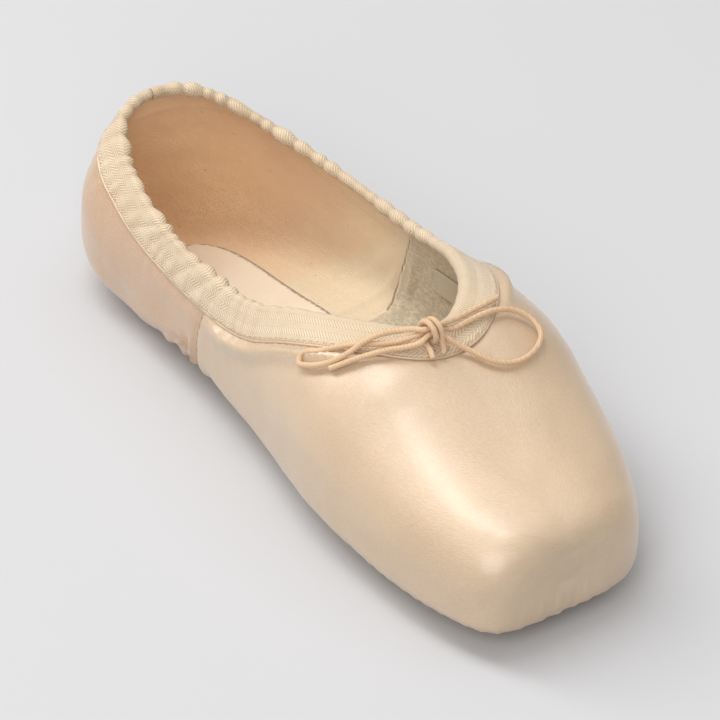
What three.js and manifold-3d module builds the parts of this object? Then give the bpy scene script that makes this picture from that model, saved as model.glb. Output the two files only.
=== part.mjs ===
// A pointe shoe on a straight last: satin upper with a stiffened box, leather outsole,
// insole, tape binding round the collar, and the drawstring tied in a bow at the throat.
// Millimetres. +X runs from heel to toe, +Y to the wearer's left, +Z up, floor at z = 0.
import * as THREE from 'three';
import Module from 'manifold-3d';

const wasm = await Module();
wasm.setup();

// ---- driving dimensions -------------------------------------------------------------------
const LENGTH = 232;        // rearmost point of the heel to the platform
const PLAN_BEND = 7.5;     // how far the long axis bows toward +Y between heel and toe
const QUARTER_WALL = 1.8;  // satin, lining and stay at the sides and heel
const BOX_WALL = 3;        // the glued canvas layers of the box
const PLATFORM_WALL = 5;   // the paste block behind the platform
const BOTTOM_WALL = 2;     // the lasted margin under the foot
const INSOLE_THICK = 1.4;
const TAPE_THICK = 0.8;
const TAPE_WIDTH = 9;      // binding outside the rim
const TURN_IN = 3;         // binding inside the rim
const FIT_GAP = 0.3;       // between any two pieces that follow one another
const HEEL_LEAN = 9;       // how far the top of the heel leans over the foot
const HEEL_TUCK = 5.5;     // how far the heel's underside tucks in
const THROAT = 158;        // station of the front end of the opening
const CORD = 1.7;          // drawstring diameter
const CORD_SIDES = 8;
const RING_POINTS = 34;

// ---- the last, by station (distance from the back of the heel) -----------------------------
// half: greatest half width; under: underside; crown: top of the section
const SECTIONS = [
  // at,  half, under, crown
  [0,     4.5,  5.0,   64.2], [1,    9.8,  4.4,   64.2], [3,    16.5,  3.6,  64.0],
  [7,    24.2,  2.8,   63.2], [13,   30.2, 2.3,   61.3], [21,   33.7,  2.3,  59.2],
  [32,   35.1,  2.3,   57.9], [45,   36.0, 2.3,   57.7], [60,   36.6,  3.2,  57.6],
  [80,   37.3,  5.4,   57.0], [95,   37.9, 5.2,   56.8], [110,  39.4,  3.0,  58.2],
  [125,  41.4,  2.3,   60.2], [140,  43.5, 2.3,   60.6], [155,  44.8,  2.3,  59.2],
  [165,  44.4,  2.3,   56.0], [175,  43.1, 2.3,   51.2], [190,  40.8,  2.5,  45.6],
  [205,  37.3,  3.3,   42.0], [215,  33.9, 4.0,   40.2], [222,  30.6,  4.6,  38.5],
  [228,  26.0,  5.4,   35.9], [231,  23.0, 6.2,   34.0], [232,  20.8,  7.2,  32.4],
];
// height of the collar's edge along the side, from the heel to where the throat begins
const COLLAR = [
  [0, 60.0], [5, 58.4], [13, 55.7], [21, 52.9], [32, 49.9], [45, 47.2], [60, 45.2],
  [80, 44.2], [95, 44.6], [110, 47.6], [125, 51.4], [140, 54.5], [158, 57.5],
];
// half width of the opening in plan, where it closes to the throat
const THROAT_PLAN = [
  [108, 31.3], [114, 30.2], [122, 28.0], [130, 25.4], [137, 22.5], [143, 19.3], [148, 15.8],
  [152, 12.2], [155, 8.6], [157, 5.2], [THROAT, 2.0],
];
// underside of the outsole, flat on the floor at heel and ball, and its half width
const SOLE_PLAN = [
  // at,  half, floor
  [11,   9.0,  0.0], [13,  14.5, 0.0], [17,  18.6, 0.0], [24,  21.6, 0.0], [34,  22.6, 0.0],
  [50,   21.2, 0.0], [66,  18.8, 1.7], [82,  18.2, 3.1], [96,  20.4, 2.6], [110, 24.6, 0.8],
  [122,  27.8, 0.0], [138, 30.0, 0.0], [154, 30.6, 0.0], [170, 29.4, 0.0], [180, 28.0, 0.0],
  [192,  25.4, 0.3], [204, 21.6, 1.0], [211, 17.6, 1.6], [215, 13.0, 2.0], [217, 8.0, 2.2],
];
const STATIONS = [
  0, 1, 3, 6, 10, 15, 21, 28, 37, 48, 60, 73, 86, 98, 109, 119, 128, 136, 143, 149, 154, 159,
  165, 173, 182, 192, 202, 211, 218, 224, 228.5, 231, 232,
];

// ---- curves through the tables --------------------------------------------------------------
// A monotone cubic through [at, value] rows, held flat past both ends.
function curve(rows, column = 1) {
  const x = rows.map((row) => row[0]);
  const y = rows.map((row) => row[column]);
  const chord = x.slice(1).map((right, i) => (y[i + 1] - y[i]) / (right - x[i]));
  const slope = y.map((_, i) => {
    if (i === 0 || i === y.length - 1) return chord[Math.min(i, chord.length - 1)];
    const [a, b] = [chord[i - 1], chord[i]];
    return a * b <= 0 ? 0 : (2 * a * b) / (a + b);
  });
  return (at) => {
    if (at <= x[0]) return y[0];
    if (at >= x[x.length - 1]) return y[y.length - 1];
    const i = x.findIndex((right) => right > at) - 1;
    const step = x[i + 1] - x[i];
    const s = (at - x[i]) / step;
    return y[i] * (1 + 2 * s) * (1 - s) ** 2 + y[i + 1] * s * s * (3 - 2 * s)
      + step * s * (1 - s) * (slope[i] * (1 - s) - slope[i + 1] * s);
  };
}
const halfWidth = curve(SECTIONS, 1);
const underside = curve(SECTIONS, 2);
const crown = curve(SECTIONS, 3);
const collarHeight = curve(COLLAR);
const { clamp, lerp, smoothstep } = THREE.MathUtils;
const girthHeight = (at) => lerp(underside(at), crown(at), 0.42);
const fullnessAt = (at) => 2.25 + 0.35 * clamp((at - 120) / 70, 0, 1);

// Station, side and height on the last to a place in the shoe's own frame.
function place(at, side, up) {
  const nearHeel = clamp(1 - at / 75, 0, 1) ** 1.5;
  const lean = HEEL_LEAN * clamp((up - 24) / 34, 0, 2) ** 1.6;
  const tuck = HEEL_TUCK * clamp((24 - up) / 22, 0, 1.2) ** 2;
  const u = (at - LENGTH / 2) / (LENGTH / 2);
  return [at - LENGTH / 2 + nearHeel * (lean + tuck), side + PLAN_BEND * (0.12 - u * u), up];
}

// ---- solids ---------------------------------------------------------------------------------
function solid(points, faces) {
  return new wasm.Manifold(new wasm.Mesh({
    numProp: 3,
    vertProperties: new Float32Array(points.flat()),
    triVerts: new Uint32Array(faces.flat()),
  }));
}

// Rings of equal length joined into a closed skin, with a fan over each end.
function skin(rings) {
  const count = rings[0].length;
  const points = rings.flat();
  const faces = [];
  for (let r = 0; r < rings.length - 1; r++) {
    for (let k = 0; k < count; k++) {
      const a = r * count + k;
      const b = r * count + ((k + 1) % count);
      faces.push([a, b, a + count], [b, b + count, a + count]);
    }
  }
  for (const [ring, flip] of [[0, true], [rings.length - 1, false]]) {
    const middle = [0, 1, 2].map((axis) =>
      rings[ring].reduce((sum, point) => sum + point[axis], 0) / count);
    points.push(middle);
    for (let k = 0; k < count; k++) {
      const edge = [ring * count + k, ring * count + ((k + 1) % count)];
      faces.push(flip ? [edge[1], edge[0], points.length - 1] : [...edge, points.length - 1]);
    }
  }
  return solid(points, faces);
}

// One section of the last: a flat-bottomed superellipse, fuller over the box than the heel.
function section(at, half, under, top) {
  const girth = lerp(under, top, 0.42);
  const fullness = fullnessAt(at);
  return Array.from({ length: RING_POINTS }, (_, k) => {
    const angle = -Math.PI / 2 + (2 * Math.PI * k) / RING_POINTS;
    const [side, up] = [Math.cos(angle), Math.sin(angle)];
    const power = up < 0 ? 4.4 : fullness;
    const rise = Math.abs(up) ** (2 / power);
    return [
      half * Math.sign(side) * Math.abs(side) ** (2 / power),
      up < 0 ? girth - (girth - under) * rise : girth + (top - girth) * rise,
    ];
  });
}

// The last's outside, grown by a small allowance.
function outerForm(grow = 0) {
  return skin(STATIONS.map((at) => {
    const end = (at / LENGTH) * 2 - 1;
    const moved = at + grow * Math.sign(end) * Math.abs(end) ** 8;
    return section(at, halfWidth(at) + grow, underside(at) - grow, crown(at) + grow)
      .map(([side, up]) => place(moved, side, up));
  }));
}

// The hollow the foot goes into, shrunk by a small allowance.
function innerForm(shrink = 0) {
  const [back, front] = [QUARTER_WALL + shrink, PLATFORM_WALL + shrink];
  return skin(STATIONS.map((at) => {
    const wall = lerp(QUARTER_WALL, BOX_WALL, smoothstep(at, 105, 165)) + shrink;
    const half = halfWidth(at);
    const moved = back + (at * (LENGTH - back - front)) / LENGTH;
    const floor = underside(at) + BOTTOM_WALL + shrink;
    const roof = crown(at) - wall * lerp(0.3, 1, Math.min(at / 60, 1));
    return section(at, half * (1 - wall / Math.max(half, 30)), floor, roof)
      .map(([side, up]) => place(moved, side, up));
  }));
}

// A straight-sided block along the shoe: rows of [at, half width, low, high].
function block(rows) {
  return skin(rows.map(([at, half, low, high]) => [
    place(at, -half, low), place(at, half, low), place(at, half, high), place(at, -half, high),
  ]));
}

// Half width of the last at a height, and height of its upper skin at a side offset.
function sideAt(at, up) {
  const girth = girthHeight(at);
  const power = up < girth ? 4.4 : fullnessAt(at);
  const reach = Math.abs(up - girth) / (up < girth ? girth - underside(at) : crown(at) - girth);
  return halfWidth(at) * (1 - Math.min(reach, 1) ** power) ** (1 / power);
}
function topAt(at, side) {
  const across = 1 - Math.min(Math.abs(side) / halfWidth(at), 1) ** fullnessAt(at);
  return lerp(girthHeight(at), crown(at), across ** (1 / fullnessAt(at)));
}

// The skin a given distance below the rim, measured down the section: [side, up].
function belowRim(at, distance) {
  let up = collarHeight(at);
  for (let run = 0; run < Math.abs(distance);) {
    const next = up - Math.sign(distance) * 0.05;
    run += Math.hypot(0.05, sideAt(at, next) - sideAt(at, up));
    up = next;
  }
  return [sideAt(at, up), up];
}

// Everything above the collar's edge, grown along the surface by `spread`. Its walls stand
// square to the skin, and turn level behind the heel.
function mouthForm(spread = 0) {
  const sides = [-30, 0, 3, 7, 12, 18, 25, 33, 42, 52, 64, 76, 88, 98]
    .map((at) => [at, ...belowRim(at, spread)]);
  const throat = THROAT_PLAN.map(([at, half]) => {
    const moved = at + smoothstep(at, 108, THROAT) * spread;
    const growth = belowRim(at, spread)[0] - belowRim(at, 0)[0];
    const side = half + lerp(growth, 0.9 * spread, smoothstep(at, 108, 136));
    return [moved, side, topAt(moved, side)];
  });
  return skin([...sides, ...throat].map(([at, side, up]) => {
    const square = smoothstep(at, 12, 45);
    const [deep, power] = [8 * square, fullnessAt(at) - 1];
    const slope = (((up - girthHeight(at)) / (crown(at) - girthHeight(at))) ** power
      / (crown(at) - girthHeight(at))) / ((side / halfWidth(at)) ** power / halfWidth(at));
    const tilt = square * Math.atan(slope);
    const [across, rise] = [Math.cos(tilt), Math.sin(tilt)];
    const [inner, low] = [side - deep * across, up - deep * rise];
    const [outer, high] = [side + 12 * across, up + 12 * rise];
    return [[-inner, low], [inner, low], [outer, high], [outer, 130], [-outer, 130], [-outer, high]]
      .map(([y, z]) => place(at, y, z));
  }));
}

// The window under the foot that the insole fills and the outsole closes.
function windowForm(inset = 0) {
  return block(SOLE_PLAN.filter(([at]) => at > 12 && at < 216).map(([at, half]) =>
    [at + inset * Math.sign(LENGTH / 2 - at), half - 5 - inset, -5, underside(at) + 4.5]));
}

function upperSolid() {
  return outerForm().subtract(innerForm()).subtract(mouthForm()).subtract(windowForm());
}

function outsoleSolid() {
  const slab = block(SOLE_PLAN.map(([at, half, low]) => [at, half, low, low + 9]));
  return slab.subtract(outerForm(FIT_GAP));
}

function insoleSolid() {
  const top = (at) => underside(at) + BOTTOM_WALL + FIT_GAP + INSOLE_THICK;
  const sock = block(STATIONS.filter((at) => at > 3 && at < 226)
    .map((at) => [at, 60, -10, top(at)]));
  const plug = windowForm(FIT_GAP).intersect(outerForm())
    .intersect(block(STATIONS.map((at) => [at, 60, -10, top(at)])));
  return sock.intersect(innerForm(FIT_GAP)).add(plug);
}

// The tape folded over the collar: the fold with a narrow turn-in, and the wide outer leg.
function bindingSolid() {
  const [under, over] = [FIT_GAP, FIT_GAP + TAPE_THICK];
  const edge = outerForm(under).subtract(innerForm(under)).subtract(mouthForm(-FIT_GAP));
  const fold = outerForm(over).subtract(innerForm(over))
    .intersect(mouthForm(TURN_IN).subtract(mouthForm(-FIT_GAP - 2 * TAPE_THICK)));
  const leg = outerForm(over).subtract(outerForm(under))
    .intersect(mouthForm(TAPE_WIDTH).subtract(mouthForm(TURN_IN - 0.1)));
  return fold.subtract(edge).add(leg);
}

// ---- the drawstring's bow ---------------------------------------------------------------------
// A point a given height above the upper's outside, over the vamp.
function overVamp(at, side, lift) {
  return new THREE.Vector3(...place(at, side, topAt(at, side) + lift));
}
const KNOT = { at: 162.2, side: -5.6, lift: 5.5, radius: 3.15, turns: 1.75, width: 3.7 };
const knotCentre = overVamp(KNOT.at, KNOT.side, KNOT.lift);
const inKnot = (x, y, z) => knotCentre.clone().add(new THREE.Vector3(x, y, z));

// The standing parts: out of the binding, round the strands and back into the binding.
function knotRoute() {
  const steps = 14;
  const wrap = Array.from({ length: steps + 1 }, (_, i) => {
    const angle = Math.PI * (1.5 - (2 * KNOT.turns * i) / steps);
    const along = KNOT.width * (i / steps) - 1.9;
    return inKnot(KNOT.radius * Math.cos(angle), along, KNOT.radius * Math.sin(angle));
  });
  return [
    overVamp(167.4, -7.9, 2.3), overVamp(166.4, -7.8, 2.7), overVamp(164.8, -7.6, 2.7), ...wrap,
    overVamp(165.7, -3.7, 4.2), overVamp(166.5, -3.7, 3.0), overVamp(167.2, -4.2, 2.1),
  ];
}
// The narrow loop on the -Y side, then through the knot to the end on the +Y side.
const LEFT_LOOP = [
  [160.0, -12.0, 3.2], [158.4, -16.0, 2.5], [155.9, -20.0, 2.3], [153.0, -23.2, 2.2],
  [149.6, -26.7, 2.0], [146.2, -30.2, 1.9], [143.0, -32.8, 1.9], [140.6, -34.0, 2.0],
  [139.2, -35.6, 2.2], [140.6, -37.2, 2.5], [143.8, -36.6, 2.4], [147.6, -34.8, 2.3],
  [151.0, -31.6, 2.4], [153.0, -27.6, 2.9], [154.3, -23.4, 4.3], [155.2, -19.0, 4.3],
  [157.0, -14.2, 4.2], [159.8, -9.8, 5.2],
];
const FAR_END = [
  [161.4, 1.0, 4.7], [160.0, 5.6, 3.1], [158.7, 11.0, 2.4], [157.8, 16.2, 2.4], [156.2, 21.6, 2.4],
];
// The round loop on the +Y side, then through the knot to the end on the -Y side.
const RIGHT_LOOP = [
  [162.2, 1.6, 2.8], [161.6, 7.0, 2.3], [160.8, 13.0, 2.3], [160.4, 18.6, 2.2], [161.2, 24.0, 2.2],
  [164.4, 28.2, 2.2], [169.2, 28.6, 2.2], [173.4, 24.6, 2.0], [175.8, 18.8, 1.6],
  [176.0, 13.2, 1.6], [173.8, 8.4, 1.7], [170.0, 4.4, 1.8], [167.4, 1.4, 2.2], [165.0, -1.6, 3.6],
];
const NEAR_END = [
  [163.1, -9.6, 3.6], [161.4, -14.0, 2.5], [159.4, -18.6, 2.3], [157.6, -23.0, 2.2],
  [155.6, -27.2, 2.1], [153.2, -31.0, 1.8], [151.4, -33.4, 1.8],
];
const CLEARANCE = 0.4; // keeps the straight runs of a coarse tube off the tape
const laid = (rows) => rows.map(([at, side, lift]) => overVamp(at, side, lift + CLEARANCE));
const leftRoute = () => [
  inKnot(-0.95, -0.5, -0.55), inKnot(-1.2, -3, -0.8), ...laid(LEFT_LOOP),
  inKnot(-0.2, -2.2, 1.1), inKnot(0, 0, 1.1), inKnot(0, 2.4, 1), ...laid(FAR_END),
];
const rightRoute = () => [
  inKnot(-0.95, 0.5, -0.55), inKnot(-0.6, 3, -0.8), ...laid(RIGHT_LOOP),
  inKnot(0.9, 1.2, -0.55), inKnot(0.9, -1.6, -0.55), ...laid(NEAR_END),
];

// ---- finished parts -------------------------------------------------------------------------
function part(name, shape, colour, roughness) {
  const mesh = shape.getMesh();
  const geometry = new THREE.BufferGeometry();
  geometry.setAttribute('position', new THREE.BufferAttribute(mesh.vertProperties, 3));
  geometry.setIndex(new THREE.BufferAttribute(mesh.triVerts, 1));
  const node = new THREE.Mesh(
    geometry, new THREE.MeshStandardMaterial({ color: colour, roughness, metalness: 0 }));
  node.name = name;
  return node;
}

function cord(name, route, steps) {
  const circle = new THREE.Shape(Array.from({ length: CORD_SIDES }, (_, k) => {
    const angle = (2 * Math.PI * k) / CORD_SIDES;
    return new THREE.Vector2(Math.cos(angle), Math.sin(angle)).multiplyScalar(CORD / 2);
  }));
  const node = new THREE.Mesh(
    new THREE.ExtrudeGeometry(circle, {
      steps, extrudePath: new THREE.CatmullRomCurve3(route),
    }),
    new THREE.MeshStandardMaterial({ color: 0xdcbd98, roughness: 0.6, metalness: 0 }));
  node.name = name;
  return node;
}

const shoe = new THREE.Group();
shoe.name = 'pointe_shoe';
shoe.add(
  part('upper', upperSolid(), 0xe8cdb4, 0.45),
  part('outsole', outsoleSolid(), 0xc9a584, 0.7),
  part('insole', insoleSolid(), 0xe9d6bd, 0.85),
  part('binding', bindingSolid(), 0xead7be, 0.8),
  cord('bow_knot', knotRoute(), 26),
  cord('bow_left', leftRoute(), 34),
  cord('bow_right', rightRoute(), 34),
);

export default shoe;
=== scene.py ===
"""A satin pointe shoe: box and upper, lining, gathered binding, insole, outsole and drawstring bow."""
import math

import bpy
import numpy as np
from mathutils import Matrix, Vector


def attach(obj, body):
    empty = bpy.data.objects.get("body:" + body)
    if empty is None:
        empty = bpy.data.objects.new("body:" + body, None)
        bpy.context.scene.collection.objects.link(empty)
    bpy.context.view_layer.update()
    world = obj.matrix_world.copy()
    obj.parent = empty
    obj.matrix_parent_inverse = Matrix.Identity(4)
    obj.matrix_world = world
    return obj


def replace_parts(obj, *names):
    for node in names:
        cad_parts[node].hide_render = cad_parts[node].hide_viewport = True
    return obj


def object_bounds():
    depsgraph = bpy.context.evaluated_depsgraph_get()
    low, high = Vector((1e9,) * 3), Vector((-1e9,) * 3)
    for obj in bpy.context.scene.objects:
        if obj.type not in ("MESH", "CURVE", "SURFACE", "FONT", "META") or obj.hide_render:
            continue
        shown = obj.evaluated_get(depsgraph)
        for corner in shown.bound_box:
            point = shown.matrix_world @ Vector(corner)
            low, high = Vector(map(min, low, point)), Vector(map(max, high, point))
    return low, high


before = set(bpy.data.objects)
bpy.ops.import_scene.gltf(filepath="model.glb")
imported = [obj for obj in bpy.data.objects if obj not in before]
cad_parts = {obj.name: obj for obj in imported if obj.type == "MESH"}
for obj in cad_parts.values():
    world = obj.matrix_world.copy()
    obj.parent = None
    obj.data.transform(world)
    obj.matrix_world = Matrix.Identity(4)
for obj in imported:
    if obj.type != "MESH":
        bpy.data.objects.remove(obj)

bl_info = {
    "name": "Pointe Shoe",
    "version": (1, 0, 0),
    "blender": (4, 5, 0),
    "location": "View3D > Sidebar > Shoe",
    "description": "Makes a satin pointe shoe piece by piece on its last",
    "category": "Add Mesh",
}

MM = 0.001
CAD_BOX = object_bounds()
LINING_DEPTH = 1.0  # from the last's skin to the lining's hidden side
LABEL_PROUD, LABEL_SUNK = 0.75, 0.7  # the ribbon's face off the wall, and its thickness into the lining

# ---- the last, in millimetres by station (distance from the back of the heel) ----------------
LENGTH, PLAN_BEND, HEEL_LEAN, HEEL_TUCK, THROAT = 232.0, 7.5, 9.0, 5.5, 158.0
GIRTH_SHARE, UNDER_POWER = 0.42, 4.4
NOSE_LENGTH, NOSE_HALF, NOSE_POWER = 32, 35.1, 2.25
SECTIONS = [
    # at, greatest half width, underside, crown
    (0, 4.5, 5.0, 64.2), (1, 9.8, 4.4, 64.2), (3, 16.5, 3.6, 64.0), (7, 24.2, 2.8, 63.2),
    (13, 30.2, 2.3, 61.3), (21, 33.7, 2.3, 59.2), (32, 35.1, 2.3, 57.9), (45, 36.0, 2.3, 57.7),
    (60, 36.6, 3.2, 57.6), (80, 37.3, 5.4, 57.0), (95, 37.9, 5.2, 56.8), (110, 39.4, 3.0, 58.2),
    (125, 41.4, 2.3, 60.2), (140, 43.5, 2.3, 60.6), (155, 44.8, 2.3, 59.2), (165, 44.4, 2.3, 56.0),
    (175, 43.1, 2.3, 51.2), (190, 40.8, 2.5, 45.6), (205, 37.3, 3.3, 42.0), (215, 33.9, 4.0, 40.2),
    (222, 30.6, 4.6, 38.5), (228, 26.0, 5.4, 35.9), (231, 23.0, 6.2, 34.0), (232, 20.8, 7.2, 32.4),
]
COLLAR = [
    # at, height of the rim
    (0, 60.0), (5, 58.4), (13, 55.7), (21, 52.9), (32, 49.9), (45, 47.2), (60, 45.2), (80, 44.2),
    (95, 44.6), (110, 47.6), (125, 51.4), (140, 54.5), (158, 57.5),
]
THROAT_RIM = [
    # square root of the distance behind the throat's front, half width of the opening
    (0, 0.0), (1, 5.2), (1.73, 8.6), (2.45, 12.2), (3.16, 15.8), (3.87, 19.3), (4.58, 22.5),
    (5.29, 25.4), (6, 28.0), (6.63, 30.2), (7.07, 31.3), (7.6, 32.4),
]
SOLE = [
    # at, half width, height of the outsole's underside
    (10.4, 0.0, 0.4), (11, 7.0, 0.1), (13, 13.6, 0.0), (17, 18.4, 0.0), (24, 21.6, 0.0),
    (34, 22.6, 0.0), (50, 21.2, 0.0), (66, 18.8, 1.7), (82, 18.2, 3.1), (96, 20.4, 2.6),
    (110, 24.6, 0.8), (122, 27.8, 0.0), (138, 30.0, 0.0), (154, 30.6, 0.0), (170, 29.4, 0.0),
    (180, 28.0, 0.0), (192, 25.4, 0.3), (204, 21.6, 1.0), (211, 17.6, 1.6), (215.4, 12.4, 2.0),
    (217.2, 7.0, 2.2), (217.8, 0.0, 2.4),
]
PAD = [
    # at, half width of the insole's raised pad
    (17, 0.0), (17.6, 3.8), (19.6, 7.2), (23, 10.2), (28, 12.4), (36, 13.9), (48, 14.6),
    (61, 14.6), (79, 14.8), (93, 16.6), (110, 19.2), (130, 22.0), (150, 23.6), (170, 23.0),
    (190, 20.0), (204, 15.0), (212, 8.0), (214.4, 0.0),
]
CREASES = [
    # side, from (station, height), to (station, height), width, rise of the satin
    (-1, (84.0, 21.0), (79.5, 3.0), 1.5, -0.8), (-1, (82.0, 23.0), (76.5, 4.0), 1.5, 0.7),
    (-1, (79.5, 22.0), (73.0, 4.0), 1.4, -0.75), (-1, (77.0, 19.0), (69.5, 4.0), 1.6, 0.55),
    (-1, (73.0, 18.0), (65.0, 4.0), 1.5, -0.55), (-1, (69.0, 15.0), (60.0, 4.5), 1.8, 0.4),
    (-1, (63.0, 13.0), (54.0, 5.0), 1.6, -0.4), (-1, (87.0, 18.0), (84.5, 4.0), 1.8, 0.5),
    (-1, (46.0, 16.0), (28.0, 9.0), 4.0, -0.6), (-1, (40.0, 26.0), (20.0, 20.0), 7.0, 0.5),
    (-1, (104.0, 16.0), (96.0, 8.0), 5.0, 0.5), (-1, (90.0, 16.0), (88.5, 5.0), 1.6, -0.35),
    (1, (84.0, 20.0), (79.5, 4.0), 1.6, -0.7), (1, (81.0, 22.0), (75.0, 4.0), 1.6, 0.6),
    (1, (76.0, 20.0), (68.0, 5.0), 1.6, -0.6), (1, (70.0, 18.0), (61.0, 5.0), 2.0, 0.4),
    (1, (48.0, 17.0), (30.0, 10.0), 4.0, -0.5), (1, (36.0, 30.0), (18.0, 22.0), 7.0, 0.4),
    (1, (103.0, 17.0), (95.0, 8.0), 5.0, 0.5),
]
LINING_FOLDS = [
    # side, from, to, width, rise of the lining into the foot space
    (1, (70.0, 30.0), (52.0, 14.0), 4.0, 0.5), (1, (60.0, 34.0), (40.0, 20.0), 5.0, -0.5),
    (1, (34.0, 40.0), (14.0, 30.0), 5.0, 0.5), (1, (82.0, 26.0), (74.0, 12.0), 3.5, 0.5),
    (-1, (66.0, 30.0), (50.0, 14.0), 4.0, 0.5), (-1, (34.0, 38.0), (16.0, 28.0), 5.0, 0.5),
]
PLEAT_FANS = [
    # centre, angle each way, how many, towards the toe (1) or the heel (-1), depth
    (188.0, 1.95, 30, 1, 1.0), (34.0, 1.5, 17, -1, 0.7),
]
PLATFORM_CREASES = [
    # side, rise of the satin
    (-9.0, 0.22), (-3.0, 0.28), (2.5, -0.22), (6.5, 0.30), (12.0, 0.22),
]
# seams of each side, from the collar down: at, height
SIDE_SEAM = [(88.6, 41.0), (87.6, 35.3), (85.2, 27.0), (83.3, 19.5), (81.4, 11.0), (80.4, 4.5)]
WING_SEAM = [(92.2, 42.0), (91.2, 37.6), (87.7, 28.1), (85.2, 18.5), (84.9, 11.0), (87.5, 7.4)]
WING_RIDGE = [(95.2, 42.0), (93.9, 35.4), (91.2, 21.8), (90.1, 12.2), (91.4, 7.4)]


def curve(rows, column=1):
    """A monotone cubic through rows, held flat past both ends."""
    x = np.array([row[0] for row in rows], float)
    y = np.array([row[column] for row in rows], float)
    chord = np.diff(y) / np.diff(x)
    before, after = chord[:-1], chord[1:]
    turns = before * after <= 0
    inner = np.where(turns, 0.0, 2 * before * after / np.where(turns, 1.0, before + after))
    slope = np.concatenate([chord[:1], inner, chord[-1:]])

    def value(at):
        at = np.clip(np.asarray(at, float), x[0], x[-1])
        i = np.clip(np.searchsorted(x, at, side="right") - 1, 0, len(x) - 2)
        step = x[i + 1] - x[i]
        s = (at - x[i]) / step
        ends = y[i] * (1 + 2 * s) * (1 - s) ** 2 + y[i + 1] * s * s * (3 - 2 * s)
        return ends + step * s * (1 - s) * (slope[i] * (1 - s) - slope[i + 1] * s)

    return value


table_half, underside, crown = (curve(SECTIONS, column) for column in (1, 2, 3))
collar_height = curve(COLLAR)
throat_side = curve(THROAT_RIM)
sole_half, sole_floor = curve(SOLE, 1), curve(SOLE, 2)
pad_half = curve(PAD)


def smooth(value, low, high):
    s = np.clip((value - low) / (high - low), 0, 1)
    return s * s * (3 - 2 * s)


def half_width(at):
    """The table's half width, with the back of the heel as one round nose."""
    at = np.asarray(at, float)
    nose = NOSE_HALF * (1 - np.clip(1 - at / NOSE_LENGTH, 0, 1) ** NOSE_POWER) ** (1 / NOSE_POWER)
    return np.where(at < NOSE_LENGTH, nose, table_half(at))


def girth_height(under, top):
    """Height at which a section is widest."""
    return under + GIRTH_SHARE * (top - under)


def place(at, side, up):
    """Station, side and height on the last to a place in the shoe's own frame."""
    near = np.clip(1 - at / 75, 0, 1) ** 1.5
    lean = HEEL_LEAN * np.clip((up - 24) / 34, 0, 2) ** 1.6
    tuck = HEEL_TUCK * np.clip((24 - up) / 22, 0, 1.2) ** 2
    u = (at - LENGTH / 2) / (LENGTH / 2)
    return np.stack([at - LENGTH / 2 + near * (lean + tuck), side + PLAN_BEND * (0.12 - u * u), up], -1)


def fullness(at):
    return 2.25 + 0.35 * np.clip((at - 120) / 70, 0, 1)


def ring(at, half, under, top, fractions):
    """Side and height at even fractions of the way round one section, from below by +Y."""
    angle = np.linspace(-math.pi / 2, 1.5 * math.pi, 2401)
    across, rise = np.cos(angle), np.sin(angle)
    girth = girth_height(under, top)
    power = np.where(rise < 0, UNDER_POWER, fullness(at))
    side = half * np.sign(across) * np.abs(across) ** (2 / power)
    lift = np.abs(rise) ** (2 / power)
    up = np.where(rise < 0, girth - (girth - under) * lift, girth + (top - girth) * lift)
    length = np.concatenate([[0], np.cumsum(np.hypot(np.diff(side), np.diff(up)))])
    want = np.asarray(fractions) * length[-1]
    return np.interp(want, length, side), np.interp(want, length, up), length[-1]


def side_height(at, side):
    """Height of the last's upper skin at a side offset."""
    girth = girth_height(underside(at), crown(at))
    across = 1 - np.clip(np.abs(side) / half_width(at), 0, 1) ** fullness(at)
    return girth + (crown(at) - girth) * across ** (1 / fullness(at))


def floor_height(at, side):
    """Height of the last's lower skin at a side offset."""
    girth = girth_height(underside(at), crown(at))
    across = 1 - np.clip(np.abs(side) / half_width(at), 0, 1) ** UNDER_POWER
    return girth - (girth - underside(at)) * across ** (1 / UNDER_POWER)


def unit(vectors):
    return vectors / np.maximum(np.linalg.norm(vectors, axis=-1, keepdims=True), 1e-12)


# ---- the last's skin as a chart that can be walked on ----------------------------------------
ROOT_STEP, TURN_STEPS = 0.04, 512
CHART_RINGS = [
    ring(at, half_width(at), underside(at), crown(at), np.linspace(0, 1, TURN_STEPS + 1))
    for at in (np.arange(0, 377) * ROOT_STEP) ** 2
]
CHART = np.stack([
    place(np.full(TURN_STEPS + 1, (i * ROOT_STEP) ** 2), row[0], row[1])
    for i, row in enumerate(CHART_RINGS)
])


def on_last(root, turn):
    """Place on the skin by square root of the station (below zero past the heel's centre line)
    and fraction of the way round."""
    turn = np.where(root < 0, 1 - turn, turn) % 1.0
    row = np.clip(np.abs(root) / ROOT_STEP, 0, len(CHART) - 1.001)
    column = turn * TURN_STEPS
    i, j = row.astype(int), np.minimum(column.astype(int), TURN_STEPS - 1)
    u, v = (row - i)[..., None], (column - j)[..., None]
    low = CHART[i, j] * (1 - v) + CHART[i, j + 1] * v
    high = CHART[i + 1, j] * (1 - v) + CHART[i + 1, j + 1] * v
    return low * (1 - u) + high * u


def slopes(root, turn):
    along = (on_last(root + 0.05, turn) - on_last(root - 0.05, turn)) / 0.1
    around = (on_last(root, turn + 0.004) - on_last(root, turn - 0.004)) / 0.008
    return along, around


def outward(points, root, along, around):
    normal = unit(np.cross(along, around))
    core = place(np.clip(root * root, 35, 200), np.zeros_like(root), np.full_like(root, 26.0))
    return normal * np.sign(np.sum(normal * (points - core), -1, keepdims=True))


def wall(at):
    return 1.8 + 1.2 * smooth(at, 105, 165)


def side_turn(at, up):
    """Fraction of the way round at which the +Y side reaches a height."""
    half = TURN_STEPS // 2 + 1
    fractions = np.linspace(0, 0.5, half)
    rows = [ring(a, half_width(a), underside(a), crown(a), fractions) for a in at]
    return np.array([np.interp(h, row[1], fractions) for h, row in zip(up, rows)])


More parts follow.
